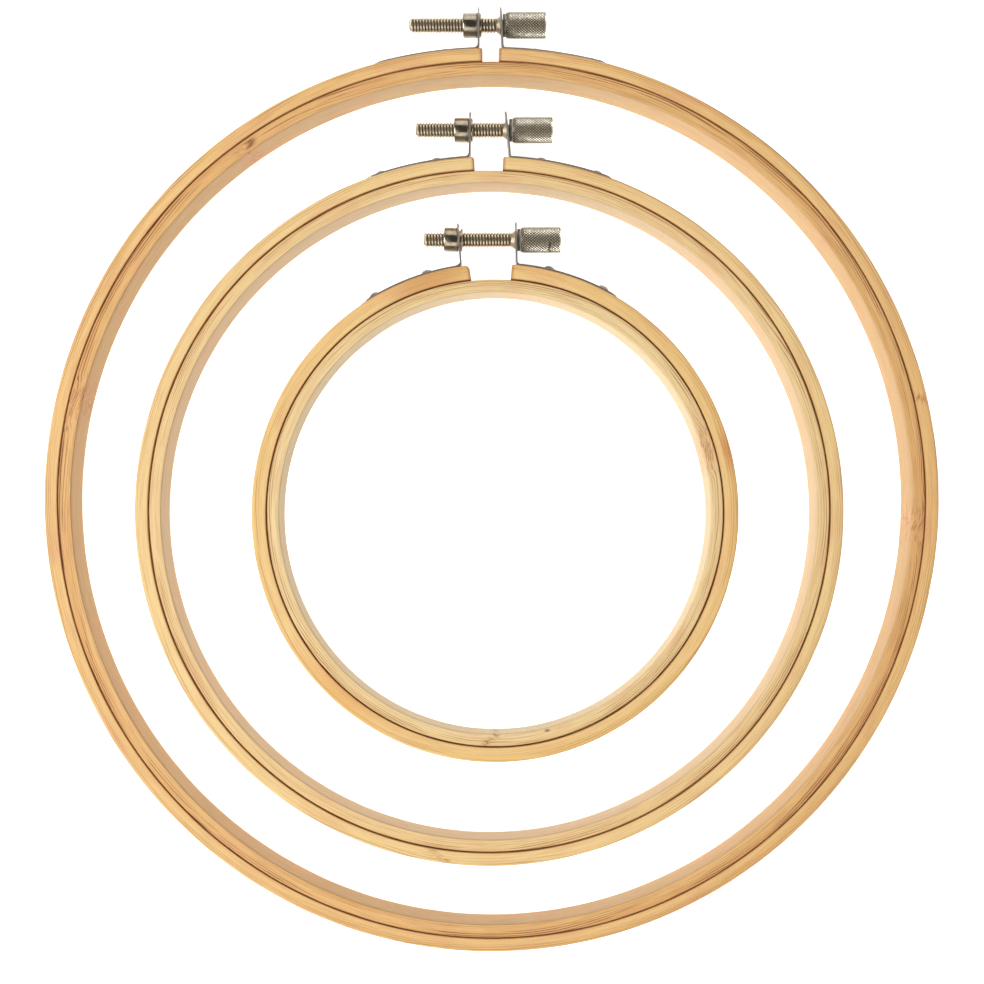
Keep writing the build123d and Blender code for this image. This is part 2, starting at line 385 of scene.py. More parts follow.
def outer_half(hoop, side):
    """One half of the split ring, from the bottom of the hoop to its end at the split."""
    name = f"{hoop.name}_outer_hoop_{SIDE_NAMES[side]}"
    piece = strip_section(name, hoop, hoop.slack, hoop.outside, GRIP_EDGE, RIM_EDGE)
    reach = hoop.half_axes(hoop.outside)[1]
    split_turn = math.asin(SPLIT_ENDS[hoop.name, side] / reach)
    round_radius = END_ROUNDS[hoop.name, side]
    round_turn = round_radius / reach
    whole = math.pi - split_turn - round_turn
    bpy.ops.mesh.spin(
        steps=RING_STEPS // 2, angle=-side * whole, center=hoop.middle, axis=UP)
    inside_reach = hoop.radius + hoop.slack
    turn_now = split_turn + round_turn
    thickness, height = hoop.outer_wall, hoop.height
    for step in range(1, END_STEPS + 1):
        swing = math.pi / 2 * step / END_STEPS
        next_turn = split_turn + round_turn * (1 - math.sin(swing))
        next_thickness = hoop.outer_wall - round_radius * (1 - math.cos(swing))
        next_height = hoop.height - 2 * END_EASE * (1 - math.cos(swing))
        across, along = side * math.sin(next_turn), math.cos(next_turn)
        inside = hoop.middle + Vector((inside_reach * across, inside_reach * along, hoop.height / 2))
        bpy.ops.mesh.extrude_edges_move()
        bpy.ops.transform.rotate(
            value=-side * (turn_now - next_turn), orient_axis="Z", center_override=hoop.middle)
        scale_selected(y=next_thickness / thickness, z=next_height / height, about=inside)
        turn_now, thickness, height = next_turn, next_thickness, next_height
    bpy.ops.mesh.edge_face_add()
    pick("VERT", lambda at: abs(at.x - hoop.middle.x) < 0.01 * MM and at.y < hoop.middle.y)
    bpy.ops.mesh.edge_face_add()
    make_oval(hoop)
    close_piece()
    weather(piece)
    note_strip(piece, hoop, hoop.slack, split_turn)
    return piece


outer_halves = {(name, side): outer_half(hoops[name], side) for name, side in halves}
for half in outer_halves.values():
    print(half.name, "from", in_mm(half.bound_box[0]), "to", in_mm(half.bound_box[6]))

# %% [markdown]
# A bracket is cut from thin strip, flat, with rounded ends, and then bent. It is made the same
# way here: the flat blank is a plane with its corners bevelled and cross cuts where it will
# bend, given its thickness and soft edges, and then drawn along a curve. Extruding the bent
# side view would be shorter, but the rounded ends would have to be cut out of it afterwards.
# The curve follows the ring, turns up through a small radius and runs straight past the screw.

# %% Bracket blanks
EAR_LEANS = {
    ("large", LEFT): 0.0, ("large", RIGHT): -0.35 * MM,
    ("middle", LEFT): 0.1 * MM, ("middle", RIGHT): -0.72 * MM,
    ("small", LEFT): -0.55 * MM, ("small", RIGHT): -0.15 * MM}
FOOT_LEAN_SHARE = 0.6
BEND_RADIUS = {LEFT: 1.3 * MM, RIGHT: 1.0 * MM}
STRAP_END_ROUND = 2.4 * MM
STRAP_CUTS = 24
BEND_CUTS = 10
SHEET_EDGE = 0.09 * MM


def arc_handle(radius, turn):
    """Length of a Bezier handle that draws an arc of this radius and turn."""
    return 4 / 3 * math.tan(turn / 4) * radius


def bracket_path(hoop, side):
    """The line that the middle of the sheet follows, and the lengths of its three runs."""
    ear = hoop.ears[side]
    offset = hoop.outside + STRAP_SEAT + SHEET / 2
    half_x, half_y = hoop.half_axes(offset)
    ring_radius = half_x ** 2 / half_y
    ring_middle = half_y - ring_radius
    bend = BEND_RADIUS[side]
    ear_x = ear + SHEET / 2
    bend_x = ear_x + bend
    bend_y = ring_middle + math.sqrt((ring_radius + bend) ** 2 - bend_x ** 2)
    far_turn = math.asin(ear / ring_radius) + STRAP_LENGTH / ring_radius
    near_turn = math.asin(bend_x / (ring_radius + bend))
    tip_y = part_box(f"{hoop.name}_left_bracket")[1].y - hoop.middle.y
    strap_turn = far_turn - near_turn
    bend_turn = math.pi / 2 - near_turn
    lean = EAR_LEANS[hoop.name, side]

    def on_ring(turn):
        from_middle = ring_radius * math.cos(turn)
        return Vector((side * ring_radius * math.sin(turn), ring_middle + from_middle, 0))

    def along_ring(turn):
        return Vector((-side * math.cos(turn), math.sin(turn), 0))

    strap_handle = arc_handle(ring_radius, strap_turn)
    bend_handle = arc_handle(bend, bend_turn)
    ear_foot = Vector((side * ear_x - lean * FOOT_LEAN_SHARE, bend_y, 0))
    ear_tip = Vector((side * ear_x + lean, tip_y, 0))
    ear_run = ear_tip - ear_foot
    ear_way = ear_run.normalized()
    near_way = along_ring(near_turn)
    no_handle = Vector((0, 0, 0))
    points = (
        (on_ring(far_turn), no_handle, along_ring(far_turn) * strap_handle),
        (on_ring(near_turn), -near_way * strap_handle, near_way * bend_handle),
        (ear_foot, -ear_way * bend_handle, ear_way * ear_run.length / 3),
        (ear_tip, -ear_way * ear_run.length / 3, no_handle))
    runs = (ring_radius * strap_turn, bend * bend_turn, ear_run.length)
    return points, runs


def bend_curve(hoop, points):
    """A Bezier curve through the points, each with its two handles."""
    data = bpy.data.curves.new(f"{hoop.name}_bend_line", "CURVE")
    data.dimensions = "2D"
    data.resolution_u = 32
    spline = data.splines.new("BEZIER")
    spline.bezier_points.add(len(points) - 1)
    for knot, (place, before, after) in zip(spline.bezier_points, points):
        knot.co = hoop.middle + place
        knot.handle_left = knot.co + before
        knot.handle_right = knot.co + after
    curve = bpy.data.objects.new(data.name, data)
    bpy.context.scene.collection.objects.link(curve)
    return curve


def bracket(hoop, side):
    side_name = SIDE_NAMES[side]
    points, (strap, bend, ear) = bracket_path(hoop, side)
    low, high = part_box(f"{hoop.name}_{side_name}_bracket")
    width = high.z - low.z
    length = strap + bend + ear
    centre = (length / 2, 0, hoop.height / 2)
    clear_selection()
    bpy.ops.mesh.primitive_plane_add(size=1, location=centre, rotation=(math.pi / 2, 0, 0))
    piece = open_piece(f"{hoop.name}_{side_name}_lug")
    select_all_parts()
    scale_selected(x=length, z=width, about=centre)
    pick("VERT", lambda at: at.x < length / 2)
    bpy.ops.mesh.bevel(offset=STRAP_END_ROUND, segments=8, affect="VERTICES")
    pick("VERT", lambda at: at.x > length * 0.9)
    bpy.ops.mesh.bevel(offset=width * 0.499, segments=16, affect="VERTICES")
    cuts = [strap * step / STRAP_CUTS for step in range(1, STRAP_CUTS)]
    cuts += [strap + bend * step / BEND_CUTS for step in range(BEND_CUTS + 1)]
    for cut in cuts:
        select_all_parts()
        bpy.ops.mesh.bisect(plane_co=(cut, 0, 0), plane_no=ACROSS)
    close_piece()
    add_modifier(piece, "SOLIDIFY", thickness=SHEET, offset=0)
    add_modifier(
        piece, "BEVEL", width=SHEET_EDGE, segments=2, limit_method="ANGLE",
        angle_limit=math.radians(60))
    curve = bend_curve(hoop, points)
    add_modifier(piece, "CURVE", object=curve, deform_axis="POS_X")
    bpy.data.objects.remove(curve)
    clear_selection()
    piece.select_set(True)
    bpy.context.view_layer.objects.active = piece
    bpy.ops.object.mode_set(mode="EDIT")
    return close_piece()


brackets = {(name, side): bracket(hoops[name], side) for name, side in halves}
for piece in brackets.values():
    print(piece.name, "from", in_mm(piece.bound_box[0]), "to", in_mm(piece.bound_box[6]))

# %% [markdown]
# Two domed rivets hold each strap. Half a sphere would stand too steep at its foot, so a dome
# is only the cap of one, with a narrow rim where the hammer spread it. It is modelled once,
# lying at the origin, and every copy is turned to face out of the ring at its place.

# %% Rivets
RIVET_RADIUS = 1.9 * MM
RIVET_DOME = 1.4 * MM
RIVET_PLACE_SHARES = (0.32, 0.85)
CAP_CUT_SHARE = 0.28
RIM_SHARE = 0.1
CAP_SPREAD = 1.03


def rivet_pattern():
    clear_selection()
    bpy.ops.mesh.primitive_uv_sphere_add(segments=32, ring_count=24, radius=RIVET_RADIUS)
    piece = open_piece("rivet_pattern")
    cut = CAP_CUT_SHARE * RIVET_RADIUS
    rim = RIM_SHARE * RIVET_DOME
    select_all_parts()
    bpy.ops.mesh.bisect(plane_co=(0, 0, cut), plane_no=UP, clear_inner=True)
    select_all_parts()
    move_selected(z=-cut)
    scale_selected(x=CAP_SPREAD, y=CAP_SPREAD, z=(RIVET_DOME - rim) / (RIVET_RADIUS - cut))
    move_selected(z=rim)
    pick("VERT", lambda at: at.z < 1.1 * rim)
    extrude_selected(z=-rim)
    bpy.ops.mesh.edge_face_add()
    return close_piece(50)


def rivets(pattern, hoop, side):
    """The pair of rivets on one strap, as one piece."""
    name = f"{hoop.name}_{SIDE_NAMES[side]}_rivet_heads"
    half_x, half_y = hoop.half_axes(hoop.outside + STRAP_SEAT + SHEET)
    radius = half_x ** 2 / half_y
    clear_selection()
    for share in RIVET_PLACE_SHARES:
        turn = math.asin(hoop.ears[side] / radius) + STRAP_LENGTH * share / radius
        copy = bpy.data.objects.new(name, pattern.data.copy())
        bpy.context.scene.collection.objects.link(copy)
        out = Vector((side * math.sin(turn), math.cos(turn), 0))
        place = hoop.middle + Vector((0, half_y - radius, hoop.height / 2)) + out * radius
        facing = out.to_track_quat("Z", "Y").to_matrix().to_4x4()
        copy.data.transform(Matrix.Translation(place) @ facing)
        copy.select_set(True)
        bpy.context.view_layer.objects.active = copy
    bpy.ops.object.join()
    return bpy.context.object


pattern = rivet_pattern()
rivet_pairs = {(name, side): rivets(pattern, hoops[name], side) for name, side in halves}
bpy.data.objects.remove(pattern)
print("rivet pairs", len(rivet_pairs))

# %% [markdown]
# The barrel nut is turned from rod: a short round body with eased edges, a neck through the
# ear and a flange clinched over on the other side. A side view spun round the axis would give
# it too. A disc drawn out along the axis, step by step, reads like the cuts on the lathe.

# %% Barrel nuts
NUT_TILTS = {"large": 0, "middle": 0, "small": 2}
NUT_BORE = 2.0 * MM
NUT_NECK = 2.5 * MM
NUT_FLANGE = 3.05 * MM
NUT_EASE = 0.3 * MM


def barrel_nut(hoop):
    low, high = hoop.nut
    radius = (high.z - low.z) / 2
    ear = hoop.middle.x - hoop.ears[LEFT]
    back = ear - SHEET
    ease = NUT_EASE
    flange = NUT_FLANGE
    steps = [
        (low.x + 0.7 * ease, NUT_BORE), (low.x, NUT_BORE + 0.5 * ease),
        (low.x, radius - ease), (low.x + 0.3 * ease, radius - 0.3 * ease), (low.x + ease, radius),
        (back - ease, radius), (back - 0.3 * ease, radius - 0.3 * ease), (back, radius - ease),
        (back, NUT_NECK), (ear, NUT_NECK), (ear, flange - 0.3 * ease), (ear + 0.3 * ease, flange),
        (ear + 0.6 * (high.x - ear), flange), (high.x, flange - 0.9 * ease), (high.x, NUT_BORE)]
    piece = turned(f"{hoop.name}_round_nut", hoop.screw, steps)
    bpy.ops.mesh.edge_face_add()
    select_all_parts()
    bpy.ops.transform.rotate(
        value=math.radians(NUT_TILTS[hoop.name]), orient_axis="Z",
        center_override=(ear, *hoop.screw.yz))
    return close_piece(30)


nuts = {name: barrel_nut(hoop) for name, hoop in hoops.items()}
print("nut sizes", [in_mm(nut.dimensions) for nut in nuts.values()])

# %% [markdown]
# A stack of rings would pass for a thread from afar, but close by it doesn't climb, so the
# screw's thread is a true helix. One pitch of its zigzag is a short chain of edges: the
# middle two points are drawn up to the flat crest, and the next two are the feet of its
# flanks. The Screw modifier winds the chain along the axis. The two ends are cut square and
# closed, the tip gets a small point, and the smooth trumpet beside the right ear is turned as
# its own shape and joined on. How deep each point lies in a groove is stored on the mesh; the
# finish paints shade by it, and the smooth trumpet gets a fixed share of that painted shade.

# %% Threaded rods
def note_groove(piece, hoop, groove_at):
    """Stores 0 on the outside of a turned piece and up to 1 at the bottom of its grooves, for
    painted shade.
    """
    note = piece.data.attributes.new("groove", "FLOAT", "POINT")
    for vertex in piece.data.vertices:
        reach = math.hypot(vertex.co.y - hoop.screw.y, vertex.co.z - hoop.screw.z)
        note.data[vertex.index].value = min(1, max(0, groove_at(vertex.co.x, reach)))


PITCH = 0.8 * MM
CREST = 1.97 * MM
ROOT = 1.53 * MM
CREST_WIDENING = 1.9
FOOT_WIDENING = 1.42
FOOT_LIFT_SHARE = 0.06
TURN_STEPS = 28
TIP_LENGTH = 0.45 * MM
TIP_SHARE = 0.72
FLARE_RADIUS = 2.38 * MM
FLARE_LENGTH = 1.3 * MM
FLARE_CLEAR = 0.06 * MM
# How much painted groove shade lies over the smooth flare.
FLARE_SHADE = 0.65
NECK_RADIUS = 1.5 * MM
NECK_PAST_EAR = 0.3 * MM


def thread(name, start, end):
    """A right-hand thread along X between two places, about the X axis."""
    turns = math.ceil((end - start) / PITCH) + 2
    top_edge = ROOT + PITCH / 2
    clear_selection()
    bpy.ops.mesh.primitive_grid_add(
        x_subdivisions=5, y_subdivisions=1, size=PITCH, location=(0, top_edge, 0))
    piece = open_piece(name)
    pick("VERT", lambda at: at.y > top_edge)
    bpy.ops.mesh.delete(type="VERT")
    crest_height = CREST - ROOT
    pick("VERT", lambda at: abs(at.x) < 0.15 * PITCH)
    move_selected(y=crest_height)
    scale_selected(x=CREST_WIDENING)
    pick("VERT", lambda at: at.y < ROOT + crest_height / 2 and 0.2 < abs(at.x) / PITCH < 0.4)
    move_selected(y=crest_height * FOOT_LIFT_SHARE)
    scale_selected(x=FOOT_WIDENING)
    bpy.ops.object.mode_set(mode="OBJECT")
    add_modifier(
        piece, "SCREW", axis="X", angle=2 * math.pi, screw_offset=PITCH, iterations=turns,
        steps=TURN_STEPS, render_steps=TURN_STEPS)
    bpy.ops.object.mode_set(mode="EDIT")
    select_all_parts()
    merge_doubles()
    move_selected(x=start - PITCH)
    for place, outwards in ((start, -ACROSS), (end, ACROSS)):
        select_all_parts()
        bpy.ops.mesh.bisect(
            plane_co=(place, 0, 0), plane_no=outwards, threshold=1e-4 * MM,
            clear_outer=True, use_fill=True)
    return piece


def threaded_rod(hoop):
    tip = hoop.rod[0].x
    ear = hoop.middle.x + hoop.ears[RIGHT]
    flare_end = ear - FLARE_CLEAR
    flare_start = flare_end - FLARE_LENGTH
    piece = thread(f"{hoop.name}_screw_thread", tip + TIP_LENGTH, flare_start)
    pick("FACE", lambda at: abs(at.x - tip - TIP_LENGTH) < 0.001 * MM)
    extrude_selected(x=-TIP_LENGTH)
    scale_selected(y=TIP_SHARE, z=TIP_SHARE, about=(tip, 0, 0))
    select_all_parts()
    move_selected(y=hoop.screw.y, z=hoop.screw.z)
    close_piece(40)
    swell = (
        (-0.3, 0.97 * ROOT), (0, 1.05 * ROOT), (0.25, 1.14 * ROOT), (0.5, CREST),
        (0.75, 0.93 * FLARE_RADIUS), (0.92, FLARE_RADIUS), (1, 0.97 * FLARE_RADIUS),
        (1, NECK_RADIUS))
    steps = [(flare_start + share * FLARE_LENGTH, radius) for share, radius in swell]
    steps.append((ear + SHEET + NECK_PAST_EAR, NECK_RADIUS))
    flare = turned(f"{hoop.name}_screw_flare", hoop.screw, steps, 48)
    close_piece(40)
    join_onto(piece, flare)

    def groove_at(x, reach):
        return (CREST - reach) / (CREST - ROOT) if x < flare_start else FLARE_SHADE

    note_groove(piece, hoop, groove_at)
    return piece


rods = {name: threaded_rod(hoop) for name, hoop in hoops.items()}
print("rod faces", [len(rod.data.polygons) for rod in rods.values()])

# %% [markdown]
# The head is knurled in diamonds, so that wet fingers can turn it. A bump in the finish would
# leave its outline smooth, so the diamonds are modelled. On a grid round the head, every second
# vertex is a low point where two grooves cross and every other one is a peak: pressing in
# alternate vertices makes the whole knurl. The nose by the ear is tapered, and the far edge is
# eased. The small hoop's head has been knocked once, which left a little dent.

# %% Knurled heads
DIAMONDS_ALONG = 13
DIAMONDS_ROUND = 28
KNURL_DEPTH = 0.34 * MM
NOSE_LENGTH = 0.8 * MM
NOSE_DROP = 0.35 * MM
COLLAR_LENGTH = 0.75 * MM
COLLAR_RADIUS = 2.9 * MM
HEAD_EASE = 0.25 * MM
DENTS = {"small": (14.5 * MM, -2.2 * MM)}
DENT_HALF_SIZE = (0.45 * MM, 0.9 * MM)


def knurled_head(hoop):
    low, high = hoop.head
    radius = (high.z - low.z) / 2
    start = low.x + COLLAR_LENGTH
    end = high.x
    knurl_end = end - HEAD_EASE
    rows = 2 * DIAMONDS_ALONG
    step = (knurl_end - start) / rows
    columns = 2 * DIAMONDS_ROUND

    def radius_at(x):
        share = min(1, (x - start) / NOSE_LENGTH)
        return radius - NOSE_DROP * (1 - share) ** 2

    steps = [(start + row * step, radius_at(start + row * step)) for row in range(rows + 1)]
    steps += [(end - 0.2 * HEAD_EASE, 0.95 * radius), (end, 0.855 * radius)]
    piece = turned(f"{hoop.name}_screw_head", hoop.screw, steps, columns)

    def is_groove(at):
        row = round((at.x - start) / step)
        turn = math.atan2(at.y - hoop.screw.y, at.z - hoop.screw.z)
        column = round(turn / (2 * math.pi / columns))
        return (row + column) % 2 == 0 and at.x < end - HEAD_EASE / 2

    pick("VERT", is_groove)
    bpy.ops.transform.shrink_fatten(value=-KNURL_DEPTH)
    if hoop.name in DENTS:
        dent_x, dent_y = DENTS[hoop.name]
        half_x, half_y = DENT_HALF_SIZE
        pick("VERT", lambda at: (
            abs(at.x - hoop.middle.x - dent_x) < half_x
            and abs(at.y - hoop.screw.y - dent_y) < half_y
            and at.z > hoop.screw.z))
        move_selected(z=-KNURL_DEPTH)
    select_all_parts()
    bpy.ops.mesh.quads_convert_to_tris(quad_method="SHORTEST_DIAGONAL")
    close_piece(18)
    bevel = 0.1 * MM
    collar = turned(f"{hoop.name}_head_collar", hoop.screw, [
        (low.x, NECK_RADIUS), (low.x, COLLAR_RADIUS - bevel), (low.x + bevel, COLLAR_RADIUS),
        (start + bevel, COLLAR_RADIUS), (start + bevel, NECK_RADIUS)], columns)
    close_piece(30)
    join_onto(piece, collar)

    def groove_at(x, reach):
        # The collar by the ear takes the full painted shade.
        if x < start:
            return 1
        return (radius_at(x) - reach) / KNURL_DEPTH if x < knurl_end else 0

    note_groove(piece, hoop, groove_at)
    return piece


heads = {name: knurled_head(hoop) for name, hoop in hoops.items()}
print("head faces", [len(head.data.polygons) for head in heads.values()])

# %% [markdown]
# Finishes are shader nodes. A small builder keeps each material readable: it adds a node,
# sets its values and links its inputs in one call. Colours are picked from the screen, so
# they are turned from display values into the linear light that Blender mixes.

# %% Helpers for finishes
def shade(red, green, blue):
    """A colour read off a screen, 0 to 255, as linear light."""
    def linear(value):
        value /= 255
        return value / 12.92 if value <= 0.04045 else ((value + 0.055) / 1.055) ** 2.4
    return (linear(red), linear(green), linear(blue), 1)


class Nodes:
    """Adds nodes to a material or group, linking any input that is given a socket."""

    def __init__(self, tree):
        self.tree = tree

    def add(self, kind, inputs=(), output=0, **settings):
        node = self.tree.nodes.new(kind)
        for key, value in settings.items():
            setattr(node, key, value)
        for key, value in dict(inputs).items():
            socket = node.inputs[key]
            if isinstance(value, bpy.types.NodeSocket):
                self.link(value, socket)
            else:
                socket.default_value = value
        return node.outputs[output]

    def link(self, value, socket):
        self.tree.links.new(value, socket)

    def math(self, operation, *values):
        return self.add("ShaderNodeMath", dict(enumerate(values)), operation=operation)

    def mix(self, share, first, second):
        return self.add(
            "ShaderNodeMix", {0: share, 6: first, 7: second}, output=2, data_type="RGBA")

    def tint(self, colour, mask, strength, tone):
        """Mixes a tone into a colour where the mask is above 0."""
        return self.mix(self.math("MULTIPLY", mask, strength), colour, tone)

    def ramp(self, value, low, high):
        """0 below low, 1 above high, eased between; low may be the larger one."""
        return self.add(
            "ShaderNodeMapRange", {0: value, 1: low, 2: high, 3: 0.0, 4: 1.0},
            interpolation_type="SMOOTHSTEP")

    def part(self, vector, axis):
        return self.add("ShaderNodeSeparateXYZ", {0: vector}, output="XYZ".index(axis))


def new_group(name, inputs, outputs):
    """A shader node group with named sockets, and its builder."""
    group = bpy.data.node_groups.new(name, "ShaderNodeTree")
    for label, kind, value in inputs:
        socket = group.interface.new_socket(label, in_out="INPUT", socket_type=kind)
        if value is not None:
            socket.default_value = value
    for label, kind in outputs:
        group.interface.new_socket(label, in_out="OUTPUT", socket_type=kind)
    nodes = Nodes(group)
    entry = group.nodes.new("NodeGroupInput")
    leave = group.nodes.new("NodeGroupOutput")
    return group, nodes, entry.outputs, leave.inputs


def new_material(name):
    """A material, the builder of its nodes and its shader."""
    material = bpy.data.materials.new(name)
    material.use_nodes = True
    return material, Nodes(material.node_tree), material.node_tree.nodes["Principled BSDF"]


FLOAT, VECTOR = "NodeSocketFloat", "NodeSocketVector"
finishes = {}

# %% [markdown]
# Bamboo grain is long strands side by side. A wave texture gives stripes that are all alike.
# Noise gives strands when it changes slowly round the hoop and fast across the strip. The
# direction round the hoop feeds the noise as a circle, so there is no seam, and the depth in
# the wall is its fourth coordinate.

# %% Strand noise, shared by every ring
def place_group(nodes, group, inputs):
    """Places a node group, links or sets its inputs, and gives its outputs by name."""
    node = nodes.tree.nodes.new("ShaderNodeGroup")
    node.node_tree = group
    for key, value in inputs.items():
        if isinstance(value, bpy.types.NodeSocket):
            nodes.link(value, node.inputs[key])
        else:
            node.inputs[key].default_value = value
    return node.outputs


def make_strands():
    group, nodes, given, result = new_group(
        "bamboo_strands",
        [("Round", VECTOR, None), ("Depth", FLOAT, 0.0), ("Height", FLOAT, 0.0),
         ("Strands per mm", FLOAT, 1.0), ("Radius", FLOAT, 100.0), ("Length", FLOAT, 20.0),
         ("Seed", FLOAT, 0.0), ("Detail", FLOAT, 2.0)],
        [("Value", FLOAT)])
    lengths = nodes.math("DIVIDE", given["Radius"], given["Length"])
    circle = nodes.add("ShaderNodeVectorMath", {0: given["Round"], 3: lengths}, operation="SCALE")
    lift = nodes.math("MULTIPLY", given["Height"], given["Strands per mm"])
    seeded = nodes.math("MULTIPLY_ADD", given["Seed"], 7.3, lift)
    moved = nodes.add("ShaderNodeCombineXYZ", {2: seeded})
    place = nodes.add("ShaderNodeVectorMath", {0: circle, 1: moved}, operation="ADD")
    across = nodes.math("MULTIPLY_ADD", given["Depth"], given["Strands per mm"], given["Seed"])
    value = nodes.add(
        "ShaderNodeTexNoise",
        {"Vector": place, "W": across, "Scale": 1.0, "Detail": given["Detail"], "Roughness": 0.55},
        noise_dimensions="4D")
    nodes.link(value, result["Value"])
    return group


strands = make_strands()

# %% [markdown]
# A bamboo stem has a knuckle every hand's width, where the strands tangle and swerve over a
# few millimetres. This group marks one knuckle, at a given direction from the middle of the
# hoop. It gives a ragged dark line, a soft blush round it, and how far the strands swerve.
# A wide blush without a line serves for stains too.

# %% Knuckles and stains, shared by every ring
def make_knuckle():
    group, nodes, given, result = new_group(
        "bamboo_knuckle",
        [("Round", VECTOR, None), ("Depth", FLOAT, 0.0), ("Ragged", FLOAT, 0.5),
         ("Radius", FLOAT, 100.0), ("Direction", VECTOR, None), ("Slant", FLOAT, 0.6),
         ("Line width", FLOAT, 0.35), ("Blush width", FLOAT, 4.0)],
        [("Line", FLOAT), ("Blush", FLOAT), ("Swerve", FLOAT)])
    both = {0: given["Round"], 1: given["Direction"]}
    sideways = nodes.add("ShaderNodeVectorMath", both, operation="CROSS_PRODUCT")
    facing = nodes.add("ShaderNodeVectorMath", both, output="Value", operation="DOT_PRODUCT")
    distance = nodes.math("MULTIPLY", nodes.part(sideways, "Z"), given["Radius"])
    slanted = nodes.math("MULTIPLY_ADD", given["Depth"], given["Slant"], distance)
    ragged = nodes.math("MULTIPLY_ADD", nodes.math("SUBTRACT", given["Ragged"], 0.5), 4.0, slanted)
    away = nodes.math("ABSOLUTE", ragged)
    front = nodes.ramp(facing, 0.0, 0.3)
    line = nodes.math("MULTIPLY", nodes.ramp(away, given["Line width"], 0.0), front)
    blush = nodes.math("MULTIPLY", nodes.ramp(away, given["Blush width"], 0.0), front)
    nodes.link(line, result["Line"])
    nodes.link(blush, result["Blush"])
    nodes.link(nodes.math("MULTIPLY", blush, slanted), result["Swerve"])
    return group


knuckle = make_knuckle()

# %% [markdown]
# The stem's veins show as fine parallel lines along the strip, about half a millimetre apart,
# crowded towards the skin and sparse towards the hollow. They are pulses of a steadily rising
# number. A slow drift makes them run out over the edge of the strip at a slight angle, a
# patchy noise makes them come and go, and a knuckle's swerve bends them.

# %% Grain, shared by every ring
def make_grain():
    group, nodes, given, result = new_group(
        "bamboo_grain",
        [("Round", VECTOR, None), ("Depth", FLOAT, 0.0), ("Height", FLOAT, 0.0),
         ("Wall", FLOAT, 3.4), ("Radius", FLOAT, 100.0), ("Seed", FLOAT, 0.0),
         ("Vein gap", FLOAT, 0.58), ("Swerve", FLOAT, 0.0)],
        [("Broad", FLOAT), ("Fibre", FLOAT), ("Veins", FLOAT), ("Patches", FLOAT)])

    def strand(per_mm, length, own_seed, detail):
        seed = nodes.math("ADD", given["Seed"], own_seed)
        return place_group(nodes, strands, {
            "Round": given["Round"], "Depth": given["Depth"], "Height": given["Height"],
            "Strands per mm": per_mm, "Radius": given["Radius"], "Length": length,
            "Seed": seed, "Detail": detail})["Value"]

    drift = strand(0.10, 60.0, 11.0, 1.0)
    broad = strand(0.55, 55.0, 0.0, 1.0)
    fibre = strand(5.0, 8.0, 3.0, 3.0)
    coming = strand(0.9, 26.0, 23.0, 1.0)
    patches = strand(0.25, 14.0, 41.0, 1.0)
    section = nodes.math("ADD", given["Depth"], given["Height"])
    phase = nodes.math("DIVIDE", section, given["Vein gap"])
    phase = nodes.math("MULTIPLY_ADD", drift, 9.0, phase)
    phase = nodes.math("MULTIPLY_ADD", fibre, 0.35, phase)
    phase = nodes.math("MULTIPLY_ADD", given["Swerve"], 0.45, phase)
    pulse = nodes.math("ABSOLUTE", nodes.math("SUBTRACT", nodes.math("FRACT", phase), 0.5))
    line = nodes.ramp(pulse, 0.26, 0.06)
    share = nodes.math("DIVIDE", given["Depth"], given["Wall"])
    crowd = nodes.math("MULTIPLY_ADD", nodes.ramp(share, 0.25, 0.85), 0.7, 0.3)
    shown = nodes.math("MULTIPLY", nodes.ramp(coming, 0.42, 0.56), crowd)
    off_face = nodes.ramp(given["Depth"], 0.1, 0.6)
    veins = nodes.math("MULTIPLY", nodes.math("MULTIPLY", line, shown), off_face)
    nodes.link(broad, result["Broad"])
    nodes.link(fibre, result["Fibre"])
    nodes.link(veins, result["Veins"])
    nodes.link(patches, result["Patches"])
    return group


grain = make_grain()

# %% [markdown]
# One function finishes all six rings. The planed edge that faces up is pale near the hollow
# side and deeper towards the skin. The face towards the middle of the hoop and the skin on
# the outside each have a tone of their own, which begins on the rounded edge. Round a knuckle,
# strand noise pulled along by the swerve gives the tangled darker strands. The split rings
# turn darker brown within a millimetre of their ends. Each ring has its own tones, knuckles
# and stains.

# %% Bamboo finish
BLUSH_PINK = shade(224, 158, 118)
KNUCKLE_PINK = shade(228, 164, 118)
KNUCKLE_STRAND = shade(158, 102, 56)
KNUCKLE_CRACK = shade(120, 74, 36)
SPLIT_END_BROWN = shade(172, 104, 52)


